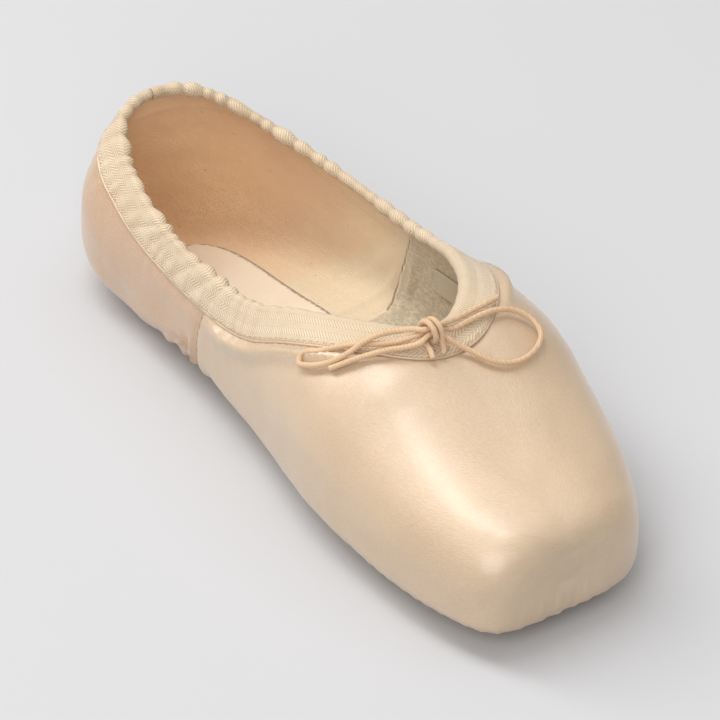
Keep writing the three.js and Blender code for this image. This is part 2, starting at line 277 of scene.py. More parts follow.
def top_turn(at, side):
    """Fraction of the way round at which the upper skin is at a side offset."""
    fractions = np.linspace(0.2, 0.5, 400)
    rows = [ring(a, half_width(a), underside(a), crown(a), fractions) for a in at]
    return np.array([np.interp(-s, -row[0], fractions) for s, row in zip(side, rows)])


# ---- the rim of the collar, and the strip of upper on either side of it ----------------------
RIM_STEPS = 760
WALK = 0.5


def make_rim():
    """Samples along the closed rim: where they lie and the skin below them, step by step."""
    heel = np.linspace(0.0, math.sqrt(116), 150) ** 2
    throat = THROAT - np.linspace(0.0, math.sqrt(THROAT - 100), 150)[::-1] ** 2
    heel_turn = side_turn(heel, collar_height(heel))
    throat_turn = top_turn(throat, throat_side(np.sqrt(THROAT - throat)))
    at = np.concatenate([heel[heel < 100], throat])
    carried_on = np.interp(throat, heel, heel_turn)
    blend = smooth(throat, 101, 115)
    turn = np.concatenate([heel_turn[heel < 100], carried_on * (1 - blend) + throat_turn * blend])
    # right round: the +Y side from the heel to the throat, then back along the -Y side
    root = np.sqrt(at)
    side = np.concatenate([np.ones_like(at), -np.ones_like(at)[1:]])
    root = np.concatenate([root, root[::-1][1:]])
    turn = np.concatenate([turn, turn[::-1][1:]])
    places = on_last(root, np.where(side > 0, turn, 1 - turn))
    run = np.concatenate([[0], np.cumsum(np.linalg.norm(np.diff(places, axis=0), axis=1))])
    want = np.arange(RIM_STEPS) * run[-1] / RIM_STEPS
    middle = run[len(at) - 1]
    root, turn = np.interp(want, run, root), np.interp(want, run, turn)
    side = np.where(want < middle, 1.0, -1.0)
    near_heel = root * root < 60
    root, turn = (
        np.where(near_heel, root * side, root),
        np.where(near_heel | (side > 0), turn, 1 - turn),
    )
    points = on_last(root, turn)
    ahead = unit(np.roll(points, -1, 0) - np.roll(points, 1, 0))
    mouth = np.array([-41.0, 0.0, 75.0])
    legs, normals, stations = [], [], []
    down = None
    for _ in range(30):
        along, around = slopes(root, turn)
        points = on_last(root, turn)
        normal = outward(points, np.abs(root), along, around)
        if down is None:
            down = unit(np.cross(normal, ahead))
            down = down * np.sign(np.sum(down * (points - mouth), -1, keepdims=True))
        else:
            down = unit(down - normal * np.sum(down * normal, -1, keepdims=True))
        legs.append(points)
        normals.append(normal)
        stations.append(root * root)
        aa, ff, af = (np.sum(x * y, -1) for x, y in ((along, along), (around, around), (along, around)))
        da, df = np.sum(down * along, -1) * WALK, np.sum(down * around, -1) * WALK
        size = aa * ff - af * af
        root, turn = root + (da * ff - df * af) / size, turn + (df * aa - da * af) / size
    return {
        "run": want, "length": run[-1], "points": np.stack(legs), "normals": np.stack(normals),
        "at": np.stack(stations), "down": unit(legs[1] - legs[0]),
    }


RIM = make_rim()


def strip(distance):
    """Places, outward directions and stations at a distance below the rim, right round it."""
    step = min(max(distance / WALK, 0), 28.999)
    i, u = int(step), step - int(step)
    points, normals, at = (RIM[key][i] * (1 - u) + RIM[key][i + 1] * u for key in ("points", "normals", "at"))
    return points, unit(normals), at


def gathers():
    """Puckers round the rim: how far each sample bulges between two pinches, and how strongly."""
    seed = np.random.default_rng(11)
    marks = [0.0]
    while marks[-1] < RIM["length"]:
        marks.append(marks[-1] + seed.uniform(3.6, 9.2))
    marks = np.array(marks) * RIM["length"] / marks[-1]
    size = seed.uniform(0.15, 1.25, len(marks))
    size[-1] = size[0]
    phase = np.interp(RIM["run"], marks, np.arange(len(marks)))
    bulge = np.abs(np.sin(math.pi * phase)) ** 1.1 * np.interp(RIM["run"], marks, size)
    at = RIM["at"][0]
    pull = 1 - 0.86 * smooth(at, 92, 132)
    return phase, bulge - 0.45, pull


PHASE, BULGE, PULL = gathers()


def to_rim(points, inside):
    """Distance below the rim (negative inside the mouth) and nearest sample for each point."""
    distance, nearest = np.empty(len(points)), np.empty(len(points), int)
    rim = RIM["points"][0]
    for start in range(0, len(points), 4000):
        part = points[start:start + 4000]
        apart = ((part[:, None, :] - rim[None, :, :]) ** 2).sum(-1)
        nearest[start:start + 4000] = apart.argmin(1)
        distance[start:start + 4000] = np.sqrt(apart.min(1))
    return np.where(inside, -distance, distance), nearest


def to_line(points, places):
    """Distance of each point from a line of places, and how far along it the nearest one is."""
    distance, along = np.full(len(points), 1e9), np.zeros(len(points))
    for i, (a, b) in enumerate(zip(places[:-1], places[1:])):
        step = b - a
        s = np.clip(((points - a) @ step) / (step @ step), 0, 1)
        apart = np.linalg.norm(points - (a + s[:, None] * step), axis=1)
        along = np.where(apart < distance, (i + s) / (len(places) - 1), along)
        distance = np.minimum(distance, apart)
    return distance, along


def seam_line(rows, side, depth=0.0):
    """A line of (station, height) on one side of the last, sunk by the wall where depth is 1."""
    knots = np.array(rows, float)
    s = np.linspace(0, len(knots) - 1, 40)
    at, up = (np.interp(s, np.arange(len(knots)), knots[:, k]) for k in (0, 1))
    turn = side_turn(at, up)
    root = np.sqrt(at)
    turn = turn if side > 0 else 1 - turn
    points = on_last(root, turn)
    along, around = slopes(root, turn)
    return points - outward(points, root, along, around) * (wall(at) * depth)[:, None]


# ---- meshes -----------------------------------------------------------------------------------
def skin_rings():
    """Stations, half widths, undersides and crowns from the heel's nose over the platform."""
    heel = np.arange(0.045, 3.87, 0.11) ** 2
    body = np.arange(15.2, 221.0, 0.98)
    knots = np.array([
        (215, 33.9, 4.0, 40.2), (221, 31.2, 4.45, 38.8), (225.6, 28.5, 5.0, 37.2),
        (229.0, 25.3, 6.0, 34.9), (231.1, 21.2, 7.8, 31.8), (232.1, 16.2, 10.5, 28.6),
        (232.5, 10.0, 14.0, 25.3), (232.6, 5.0, 16.7, 22.6), (232.6, 0.6, 19.3, 20.0),
        (232.6, -4.0, 21.5, 17.5),
    ])
    toe = spline(knots, 14)
    toe = toe[(toe[:, 1] > 0.59) & (toe[:, 0] > 222.0)]
    at = np.concatenate([heel, body, toe[:, 0]])
    front = len(toe)
    return (
        at,
        np.concatenate([half_width(at[:-front]), toe[:, 1]]),
        np.concatenate([underside(at[:-front]), toe[:, 2]]),
        np.concatenate([crown(at[:-front]), toe[:, 3]]),
    )


def spline(points, per):
    """A centripetal Catmull-Rom line through points, with `per` steps from each to the next."""
    p = np.vstack([2 * points[0] - points[1], points, 2 * points[-1] - points[-2]])
    out = []
    for i in range(1, len(p) - 2):
        q = p[i - 1:i + 3]
        gap = np.maximum(np.linalg.norm(np.diff(q, axis=0), axis=1) ** 0.5, 1e-4)
        m1 = (q[1] - q[0]) / gap[0] - (q[2] - q[0]) / (gap[0] + gap[1]) + (q[2] - q[1]) / gap[1]
        m2 = (q[2] - q[1]) / gap[1] - (q[3] - q[1]) / (gap[1] + gap[2]) + (q[3] - q[2]) / gap[2]
        m1, m2 = m1 * gap[1], m2 * gap[1]
        t = np.linspace(0, 1, per, endpoint=False)[:, None]
        out.append(
            (2 * t ** 3 - 3 * t ** 2 + 1) * q[1] + (t ** 3 - 2 * t ** 2 + t) * m1
            + (3 * t ** 2 - 2 * t ** 3) * q[2] + (t ** 3 - t ** 2) * m2)
    return np.vstack(out + [p[-2:-1]])


def skin_grid(columns):
    """The last's skin as a grid of places with outward directions and what lies where."""
    at, half, under, top = skin_rings()
    fractions = (np.arange(columns) + 0.5) / columns
    rows = [ring(*values, fractions) for values in zip(at, half, under, top)]
    side, up = np.stack([row[0] for row in rows]), np.stack([row[1] for row in rows])
    round_mm = np.stack([np.minimum(fractions, 1 - fractions) * row[2] for row in rows])
    station = np.repeat(at[:, None], columns, 1)
    points = place(station, side, up)
    ahead = np.gradient(points, axis=0)
    around = np.roll(points, -1, 1) - np.roll(points, 1, 1)
    normal = unit(np.cross(around, ahead))
    walked = np.concatenate([[0], np.cumsum(np.linalg.norm(
        np.diff(np.stack([at, half], 1), axis=0), axis=1) * (at[1:] > 150) + np.diff(at) * (at[1:] <= 150))])
    girth = girth_height(under, top)
    behind = np.sqrt(np.clip(THROAT - station, 0, None))
    inside = np.where(
        station < 108, up > collar_height(station),
        (station < THROAT) & (np.abs(side) < throat_side(behind)) & (up > girth[:, None]))
    distance, nearest = to_rim(points.reshape(-1, 3), inside.ravel())
    walked = np.repeat(walked[:, None], columns, 1)
    return {
        "points": points, "normal": normal, "at": station, "side": side, "up": up,
        "weave": np.stack([walked, round_mm, side * 0.05], -1).reshape(-1, 3),
        "below": distance.reshape(station.shape), "rim": nearest.reshape(station.shape),
    }


def grid_quads(rows, columns):
    """Quads of a grid that closes round, zipped shut over its first and last rings."""
    i, j = np.meshgrid(np.arange(rows - 1), np.arange(columns), indexing="ij")
    here, beside = (i * columns + j).ravel(), (i * columns + (j + 1) % columns).ravel()
    body = np.stack([here, beside, beside + columns, here + columns], 1)
    j = np.arange(columns // 2 - 1)
    first = np.stack([j + 1, j, columns - 1 - j, columns - 2 - j], 1)
    last = first[:, ::-1] + (rows - 1) * columns
    return np.concatenate([body, first, last])


def patch_quads(rows, columns):
    """Quads of an open grid."""
    i, j = np.meshgrid(np.arange(rows - 1), np.arange(columns - 1), indexing="ij")
    here = i * columns + j
    return np.stack([here, here + columns, here + columns + 1, here + 1], -1).reshape(-1, 4)


def bunched(first, last, root, count, middle):
    """Stations crowded towards both rounded ends."""
    ends = np.linspace(0.0, root, count) ** 2
    return np.concatenate([first + ends, middle, last - ends[::-1]])


def shell(quads, outer, inner, traits):
    """Two matching skins joined along their open edges into one closed body."""
    count = len(outer)
    edges = np.concatenate([quads[:, [k, (k + 1) % 4]] for k in range(4)])
    key = edges.min(1) * count + edges.max(1)
    _, first, uses = np.unique(key, return_index=True, return_counts=True)
    open_edges = edges[first[uses == 1]]
    walls = np.stack([
        open_edges[:, 1], open_edges[:, 0], open_edges[:, 0] + count, open_edges[:, 1] + count], 1)
    faces = np.concatenate([quads, quads[:, ::-1] + count, walls])
    used, faces = np.unique(faces, return_inverse=True)
    points = np.concatenate([outer, inner])[used]
    traits = {name: np.concatenate([values, values])[used] for name, values in traits.items()}
    return points, faces.reshape(-1, 4).tolist(), traits


def add_mesh(name, finish, slot, replaces, points, faces, traits=None):
    """One smooth mesh piece from places in millimetres, riding on the shoe."""
    mesh = bpy.data.meshes.new(name)
    mesh.from_pydata((points * MM).tolist(), [], faces)
    for trait, values in (traits or {}).items():
        kind = "FLOAT_VECTOR" if values.ndim == 2 else "FLOAT"
        layer = mesh.attributes.new(trait, kind, "POINT")
        layer.data.foreach_set("vector" if values.ndim == 2 else "value", values.astype(np.float32).ravel())
    mesh.shade_smooth()
    mesh.materials.append(finish)
    piece = bpy.data.objects.new(name, mesh)
    bpy.context.scene.collection.objects.link(piece)
    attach(piece, "root")
    if replaces:
        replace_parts(piece, *replaces)
    return piece


def tube(line, radius, sides=8, closed=False):
    """Rings of a round tube along a line of places, with its quads and ends."""
    line = np.asarray(line, float)
    if closed:
        ahead = unit(np.roll(line, -1, 0) - np.roll(line, 1, 0))
    else:
        ahead = unit(np.gradient(line, axis=0))
    first = unit(np.cross(ahead, np.array([0.13, 0.21, 0.97])))
    second = np.cross(ahead, first)
    angle = 2 * math.pi * np.arange(sides) / sides
    radius = np.broadcast_to(radius, (len(line),))[:, None, None]
    rings = line[:, None] + radius * (
        np.cos(angle)[None, :, None] * first[:, None] + np.sin(angle)[None, :, None] * second[:, None])
    count = len(line)
    i, j = np.meshgrid(np.arange(count if closed else count - 1), np.arange(sides), indexing="ij")
    nxt, beside = (i + 1) % count, (j + 1) % sides
    faces = np.stack([i * sides + j, i * sides + beside, nxt * sides + beside, nxt * sides + j], -1)
    faces = faces.reshape(-1, 4).tolist()
    if not closed:
        faces += [list(range(sides))[::-1], list(range((count - 1) * sides, count * sides))]
    return rings.reshape(-1, 3), faces


def joined(parts):
    """Several meshes' places and faces as one."""
    points, faces, start = [], [], 0
    for more_points, more_faces in parts:
        points.append(more_points)
        faces += [[index + start for index in face] for face in more_faces]
        start += len(more_points)
    return np.concatenate(points), faces


# ---- finishes ---------------------------------------------------------------------------------
class Value:
    """A number that varies over a surface, so that sums can be written as sums."""

    def __init__(self, finish, socket):
        self.finish, self.socket = finish, socket

    def maths(self, operation, *values):
        node = self.finish.node(
            "ShaderNodeMath", {"operation": operation}, dict(enumerate(values)))
        return Value(self.finish, node.outputs[0])

    def __add__(self, other):
        return self.maths("ADD", self, other)

    def __sub__(self, other):
        return self.maths("SUBTRACT", self, other)

    def __mul__(self, other):
        return self.maths("MULTIPLY", self, other)

    def __rsub__(self, other):
        return self.maths("SUBTRACT", other, self)

    __radd__, __rmul__ = __add__, __mul__

    def sine(self):
        return self.maths("SINE", self)

    def size(self):
        return self.maths("ABSOLUTE", self)

    def folded(self, width):
        return self.maths("PINGPONG", self, width)

    def mask(self, low, high):
        """0 below low and 1 above high, or the other way round where low is the greater."""
        swap = low > high
        node = self.finish.node(
            "ShaderNodeMapRange", {"interpolation_type": "SMOOTHSTEP"},
            {"Value": self, "From Min": min(low, high), "From Max": max(low, high),
             "To Min": 1.0 if swap else 0.0, "To Max": 0.0 if swap else 1.0})
        return Value(self.finish, node.outputs["Result"])


class Finish:
    """A material under making, with one method for every node."""

    def __init__(self, name):
        self.material = bpy.data.materials.new(name)
        self.material.use_nodes = True
        self.tree = self.material.node_tree
        self.tree.nodes.clear()

    def node(self, kind, settings=None, values=None):
        made = self.tree.nodes.new(kind)
        for name, setting in (settings or {}).items():
            setattr(made, name, setting)
        for name, value in (values or {}).items():
            socket = made.inputs[name]
            if isinstance(value, Value):
                self.tree.links.new(value.socket, socket)
            else:
                socket.default_value = value
        return made

    def trait(self, name):
        """A value kept on the mesh."""
        made = self.node("ShaderNodeAttribute", {"attribute_name": name})
        return Value(self, made.outputs["Fac"])

    def weave(self):
        """Millimetres along and across the cloth, kept on the mesh."""
        made = self.node("ShaderNodeAttribute", {"attribute_name": "weave"})
        parts = self.node("ShaderNodeSeparateXYZ", None, {0: Value(self, made.outputs["Vector"])})
        return [Value(self, made.outputs["Vector"])] + [Value(self, parts.outputs[k]) for k in (0, 1)]

    def place(self):
        made = self.node("ShaderNodeTexCoord")
        return Value(self, made.outputs["Object"])

    def stretched(self, vector, scale):
        made = self.node("ShaderNodeVectorMath", {"operation": "MULTIPLY"}, {0: vector, 1: scale})
        return Value(self, made.outputs[0])

    def noise(self, vector, scale=1.0, detail=3.0, rough=0.5):
        made = self.node(
            "ShaderNodeTexNoise", None,
            {"Vector": vector, "Scale": scale, "Detail": detail, "Roughness": rough})
        return Value(self, made.outputs["Fac"])

    def grain(self, vector, along, across, detail, rough=0.5):
        """Noise of so many cells to the millimetre along and across the cloth."""
        return self.noise(self.stretched(vector, (along, across, 1.0)), 1.0, detail, rough)

    def specks(self, vector, scale):
        made = self.node("ShaderNodeTexVoronoi", None, {"Vector": vector, "Scale": scale})
        return Value(self, made.outputs["Distance"])

    def mix(self, factor, first, second):
        """From the first colour to the second."""
        values = {0: factor, 6: self.colour(first), 7: self.colour(second)}
        made = self.node("ShaderNodeMix", {"data_type": "RGBA"}, values)
        return Value(self, made.outputs[2])

    @staticmethod
    def colour(value):
        return value if isinstance(value, Value) else (*tuple(value)[:3], 1.0)

    def shade(self, colour, roughness, height=None, depth=0.0001, **fixed):
        """Ends the material: what varies comes linked, everything else is set on the shader."""
        values = {"Base Color": self.colour(colour), "Roughness": roughness}
        if height is not None:
            bump = self.node("ShaderNodeBump", None, {"Strength": 1.0, "Distance": depth, "Height": height})
            values["Normal"] = Value(self, bump.outputs[0])
        values.update({name.replace("_", " "): value for name, value in fixed.items()})
        shader = self.node("ShaderNodeBsdfPrincipled", None, values)
        self.node("ShaderNodeOutputMaterial", None, {"Surface": Value(self, shader.outputs[0])})
        return self.material


def satin_finish(colours):
    """Warp-faced satin: close lengthwise threads, a soft sheen, painted glints on the threads, painted shade
    as a darker warmer copy round the heel, and darkening low down and on the platform that is partly handling
    marks and partly painted shade.
    """
    f = Finish("satin")
    weave = f.weave()[0]
    threads = f.grain(weave, 0.9, 7.0, 2.0)
    grain = f.grain(weave, 1.1, 2.4, 4.0, 0.65)
    cloud = f.grain(weave, 0.03, 0.05, 3.0)
    seam = f.trait("seam").size()
    stitch = seam.mask(0.45, 0.1)
    soil_and_shade = f.trait("soil_and_shade")
    colour = f.mix(cloud.mask(0.3, 0.75), colours.satin, colours.satin_shade)
    # painted shade: the satin behind the side seams is a darker, warmer copy of the same satin, standing in
    # for the shade round the heel
    colour = f.mix(f.trait("heel_shade_mask"), colour, colours.satin_heel_painted_shade)
    # painted highlight: lighter flecks along the grain stand in for glints of the sheen on single threads
    colour = f.mix(grain.mask(0.35, 0.75) * 0.30, colour, colours.satin_painted_glint)
    # painted shade and soil: darker low down by the floor and on the platform, partly handling marks, partly
    # painted shade
    colour = f.mix(soil_and_shade * 0.75, colour, colours.satin_handled_shaded)
    colour = f.mix(stitch * 0.8, colour, colours.seam_dark)
    roughness = 0.36 + 0.10 * grain + 0.10 * soil_and_shade - 0.04 * threads
    height = threads * 0.6 + grain * 0.4 - stitch * 2.0
    return f.shade(
        colour, roughness, height, 0.00016, Metallic=0.08, Sheen_Weight=0.12, Sheen_Roughness=0.35,
        Sheen_Tint=(1.0, 0.90, 0.80, 1.0), Anisotropic=0.3, Specular_IOR_Level=1.0,
        Coat_Weight=1.0, Coat_Roughness=0.28)


def lining_finish(colours):
    """Cotton drill: fine ribs along the foot, flecks, a paler wing and the canvas ahead of it."""
    f = Finish("lining")
    weave, along, across = f.weave()
    wander = f.grain(weave, 0.08, 0.3, 2.0)
    rib = (across * 7.4 + along * 0.9 + wander * 4.0).sine()
    cross = (along * 8.6 + across * 0.5).sine()
    nap = f.grain(weave, 0.9, 2.2, 4.0, 0.65)
    cloud = f.grain(weave, 0.035, 0.06, 3.0)
    wing, canvas = f.trait("wing"), f.trait("canvas")
    colour = f.mix(cloud.mask(0.25, 0.8), colours.lining, colours.lining_shade)
    colour = f.mix(wing, colour, colours.wing)
    speckle = f.grain(weave, 0.55, 0.7, 4.0, 0.7).mask(0.42, 0.62)
    colour = f.mix(canvas, colour, f.mix(speckle, colours.canvas_dark, colours.canvas))
    colour = f.mix(nap.mask(0.45, 0.75) * 0.35, colour, colours.lining_nap)
    fleck = f.specks(f.stretched(weave, (0.22, 0.26, 1.0)), 1.0).mask(0.09, 0.03)
    colour = f.mix(fleck * (1.0 - canvas) * 0.5, colour, colours.fleck)
    seam = f.trait("seam").size().mask(0.75, 0.25)
    colour = f.mix(seam * 0.8, colour, colours.seam_dark)
    height = (rib * 0.5 + cross * 0.25) * (1.0 - canvas * 0.6) + nap * 0.9 - seam * 2.0
    return f.shade(colour, 0.86 + 0.08 * nap, height, 0.00012, Sheen_Weight=0.25, Sheen_Roughness=0.6)


def tape_finish(colours):
    """Herringbone twill tape: rows of slanting ribs that turn back on one another, with painted shade in the
    pinches between its gathers.
    """
    f = Finish("tape")
    weave, along, across = f.weave()
    zigzag = across.folded(2.1)
    drift = f.grain(weave, 0.15, 0.3, 2.0)
    rib = (along * 6.3 + zigzag * 5.6 + drift * 1.6).sine()
    turn = ((zigzag - 1.05).size()).mask(0.90, 1.05)
    yarn = f.grain(weave, 3.6, 3.6, 2.0)
    cloud = f.grain(weave, 0.06, 0.15, 2.0)
    pinch_shade = f.trait("pinch_shade")
    colour = f.mix(cloud.mask(0.3, 0.7), colours.tape, colours.tape_shade)
    colour = f.mix(rib.mask(0.4, -0.8) * 0.6, colour, colours.tape_gap_and_pinch_shade)
    colour = f.mix(turn * 0.22, colour, colours.tape_gap_and_pinch_shade)
    # painted shade: the tape is darkened in the pinches between its gathers, where the folds fall into shade
    colour = f.mix(pinch_shade * 0.45, colour, colours.tape_gap_and_pinch_shade)
    height = rib * 0.55 + yarn * 0.3 - turn * 0.4
    return f.shade(colour, 0.50 + 0.15 * yarn, height, 0.00012, Sheen_Weight=0.3, Sheen_Roughness=0.45)


def insole_finish(colours):
    """Brushed sock with a rough cut edge, darkened partly as the cut edge and its stitching and partly as
    painted shadow in the gap beside the pad.
    """
    f = Finish("sock")
    weave = f.weave()[0]
    nap = f.grain(weave, 1.1, 1.4, 5.0, 0.7)
    cloud = f.grain(weave, 0.05, 0.06, 3.0)
    fray = f.grain(weave, 0.8, 0.8, 3.0, 0.6)
    # dark band along the pad's edge: partly the rough cut edge and stitching, partly painted shadow in the
    # gap beside the pad
    edge = (f.trait("edge") + fray * 1.8 - 0.9).mask(2.2, 1.0)
    colour = f.mix(cloud.mask(0.3, 0.75), colours.sock, colours.sock_shade)
    colour = f.mix(nap.mask(0.4, 0.8) * 0.3, colour, colours.lining_nap)
    colour = f.mix(edge * 0.85, colour, colours.sock_edge_and_gap_shadow)
    return f.shade(colour, 0.9 - 0.1 * nap, nap + edge * fray, 0.00016, Sheen_Weight=0.2, Sheen_Roughness=0.6)


def sole_finish(colours):
    """Split leather: nap, pores, a stitched channel and a burnished edge."""
    f = Finish("sole_leather")
    weave = f.weave()[0]
    nap = f.grain(weave, 0.5, 1.3, 5.0, 0.65)
    pores = f.specks(f.stretched(weave, (1.4, 1.4, 1.0)), 1.0).mask(0.05, 0.32)
    edge = f.trait("edge")
    burnish = edge.mask(0.9, 0.1)
    channel = (edge - 3.0).size().mask(0.5, 0.2)
    cloud = f.grain(weave, 0.04, 0.07, 3.0)
    colour = f.mix(cloud.mask(0.3, 0.75), colours.leather, colours.leather_shade)
    colour = f.mix(nap.mask(0.4, 0.8) * 0.4, colour, colours.leather_nap)
    colour = f.mix(burnish * 0.6 + channel * 0.3, colour, colours.leather_edge)
    height = nap * 0.8 + pores * 0.4 - channel * 2.5
    return f.shade(colour, 0.78 - 0.2 * burnish + 0.1 * nap, height, 0.00012)


def cord_finish(colours):
    """Braided drawstring with slanting strands."""
    f = Finish("drawstring")
    place = f.place()
    strands = f.node("ShaderNodeTexWave", {"bands_direction": "DIAGONAL"},
                     {"Vector": place, "Scale": 420.0, "Distortion": 1.5, "Detail": 2.0})
    strand = Value(f, strands.outputs["Fac"])
    fuzz = f.noise(place, 2600.0, 3.0, 0.6)
    tone = f.noise(place, 130.0, 3.0)
    colour = f.mix(tone.mask(0.3, 0.7), colours.cord, colours.cord_shade)
    colour = f.mix((1.0 - strand) * 0.35, colour, colours.cord_gap)
    return f.shade(colour, 0.66 + 0.15 * fuzz, strand * 0.7 + fuzz * 0.5, 0.00010, Sheen_Weight=0.2)


def thread_finish(colours):
    """Waxed sewing thread."""
    f = Finish("thread")
    place = f.place()
    twist = f.noise(place, 3000.0, 2.0)
    colour = f.mix(twist, colours.thread, colours.thread_shade)
    return f.shade(colour, 0.55 + 0.1 * twist, twist, 0.00004)


def label_finish(colours):
    """Plain woven ribbon."""
    f = Finish("ribbon")
    weave, along, across = f.weave()
    rib = (along * 9.0).sine() * 0.5 + (across * 11.0).sine() * 0.5
    nap = f.grain(weave, 1.5, 1.5, 3.0)
    colour = f.mix(nap, colours.ribbon, colours.ribbon_shade)
    return f.shade(colour, 0.6 + 0.15 * nap, rib, 0.00006)


def floor_finish(colours):
    """Pale matt studio floor."""
    f = Finish("studio_floor")
    tone = f.noise(f.place(), 2.0, 2.0)
    return f.shade(f.mix(tone, colours.floor, colours.floor_shade), 0.85 + 0.05 * tone)


# ---- sizes and colours ------------------------------------------------------------------------
def length(name, default, description):
    return bpy.props.FloatProperty(
        name=name, default=default, description=description, unit="LENGTH", precision=4)


def tint(name, *default):
    return bpy.props.FloatVectorProperty(
        name=name, description=f"Colour of the {name.lower()}", subtype="COLOR", size=3,
        min=0.0, max=1.0, default=default)


class ShoeSizes(bpy.types.PropertyGroup):
    """Sizes of the soft pieces that are laid on the last."""
    satin: length("Satin", 0.0006, "Thickness of the satin and its backing")
    tape_width: length("Tape width", 0.0094, "Width of the binding outside the rim")
    tape_turn: length("Tape turn-in", 0.0028, "Width of the binding inside the rim")
    tape_lift: length("Tape thickness", 0.0006, "How proud the binding stands")
    gather: length("Gather", 0.0012, "How far the binding puckers")
    cord: length("Drawstring", 0.0017, "Diameter of the drawstring")
    stitch: length("Stitch", 0.0024, "Spacing of the stitches")
    pad: length("Insole", 0.0013, "Thickness of the insole's pad")


class ShoeColours(bpy.types.PropertyGroup):
    """Colours of the finishes."""
    satin: tint("Satin", 0.665, 0.485, 0.31)
    satin_shade: tint("Satin in the shade", 0.60, 0.43, 0.265)
    # painted shade: darker, warmer copy of the satin used round the heel
    satin_heel_painted_shade: tint("Satin round the heel with painted shade", 0.58, 0.35, 0.19)
    # painted highlight: the colour of the glints painted on the satin threads
    satin_painted_glint: tint("Painted glints on the satin threads", 0.86, 0.70, 0.55)
    # partly handling soil, partly painted shade, used low down and on the platform
    satin_handled_shaded: tint("Handled satin with painted shade", 0.50, 0.40, 0.29)
    seam_dark: tint("Seam", 0.20, 0.12, 0.07)
    lining: tint("Lining", 0.90, 0.62, 0.375)
    lining_shade: tint("Lining in the shade", 0.85, 0.56, 0.33)
    lining_nap: tint("Lining nap", 0.90, 0.75, 0.55)
    fleck: tint("Flecks", 0.30, 0.17, 0.08)
    wing: tint("Wing lining", 0.83, 0.70, 0.50)
    canvas: tint("Canvas", 0.66, 0.57, 0.42)
    canvas_dark: tint("Canvas weave", 0.50, 0.42, 0.29)
    tape: tint("Tape", 0.80, 0.665, 0.485)
    tape_shade: tint("Tape in the shade", 0.755, 0.61, 0.43)
    # darker tape between the ribs, also used as painted shade in the pinches of the gathers
    tape_gap_and_pinch_shade: tint("Tape between ribs and painted shade in its pinches", 0.50, 0.35, 0.21)
    sock: tint("Insole", 0.92, 0.80, 0.64)
    sock_shade: tint("Insole in the shade", 0.86, 0.72, 0.55)
    # partly the cut edge and stitching, partly painted shadow in the gap beside the pad
    sock_edge_and_gap_shadow: tint("Insole edge and painted gap shadow", 0.20, 0.13, 0.07)
    leather: tint("Sole leather", 0.55, 0.36, 0.21)
    leather_shade: tint("Sole leather in the shade", 0.47, 0.30, 0.17)
    leather_nap: tint("Sole leather nap", 0.66, 0.47, 0.30)
    leather_edge: tint("Sole edge", 0.27, 0.16, 0.09)
    cord: tint("Drawstring", 0.78, 0.55, 0.35)
    cord_shade: tint("Drawstring in the shade", 0.72, 0.49, 0.30)
    cord_gap: tint("Drawstring between strands", 0.50, 0.32, 0.19)
    thread: tint("Thread", 0.74, 0.56, 0.39)
    thread_shade: tint("Thread twist", 0.58, 0.42, 0.28)
    ribbon: tint("Label", 0.68, 0.60, 0.47)
    ribbon_shade: tint("Label weave", 0.60, 0.52, 0.40)
    floor: tint("Floor", 0.59, 0.598, 0.62)
    floor_shade: tint("Floor in the shade", 0.58, 0.588, 0.61)


# ---- the pieces --------------------------------------------------------------------------------
def crease(grid, rows):
    """Sum of listed soft folds, each a rounded ridge or trough that fades at its ends."""
    points = grid["points"].reshape(-1, 3)
    rise = np.zeros(len(points))
    for side, start, end, width, height in rows:
        near, along = to_line(points, seam_line([start, end], side))
        ends = np.sin(math.pi * np.clip(along * 0.94 + 0.03, 0, 1)) ** 0.6
        rise += height * ends * np.exp(-(near / width) ** 2)
    return rise.reshape(grid["at"].shape)


def pleats(grid):
    """Small pleats where the satin is drawn under the foot at the toe and heel."""
    at, side, up = grid["at"], grid["side"], grid["up"]
    seed = np.random.default_rng(5)
    rise = np.zeros_like(at)
    for centre, reach, count, sign, edge in PLEAT_FANS:
        bearing = np.arctan2(side, (at - centre) * sign)
        radius = np.hypot(side, at - centre)
        marks = np.linspace(-reach, reach, count) + seed.uniform(-0.03, 0.03, count)
        sizes = seed.uniform(0.6, 1.15, count)
        fade = 1 - smooth(up, 4.5, 10.5)
        outer = smooth(radius, 9.0, 17.0)
        for mark, size in zip(marks, sizes):
            apart = (bearing - mark) * radius
            rise += edge * size * 0.55 * np.exp(-(apart / 0.95) ** 2) * fade * outer
            rise -= edge * size * 0.35 * np.exp(-((apart - 1.7) / 0.8) ** 2) * fade * outer
    return rise


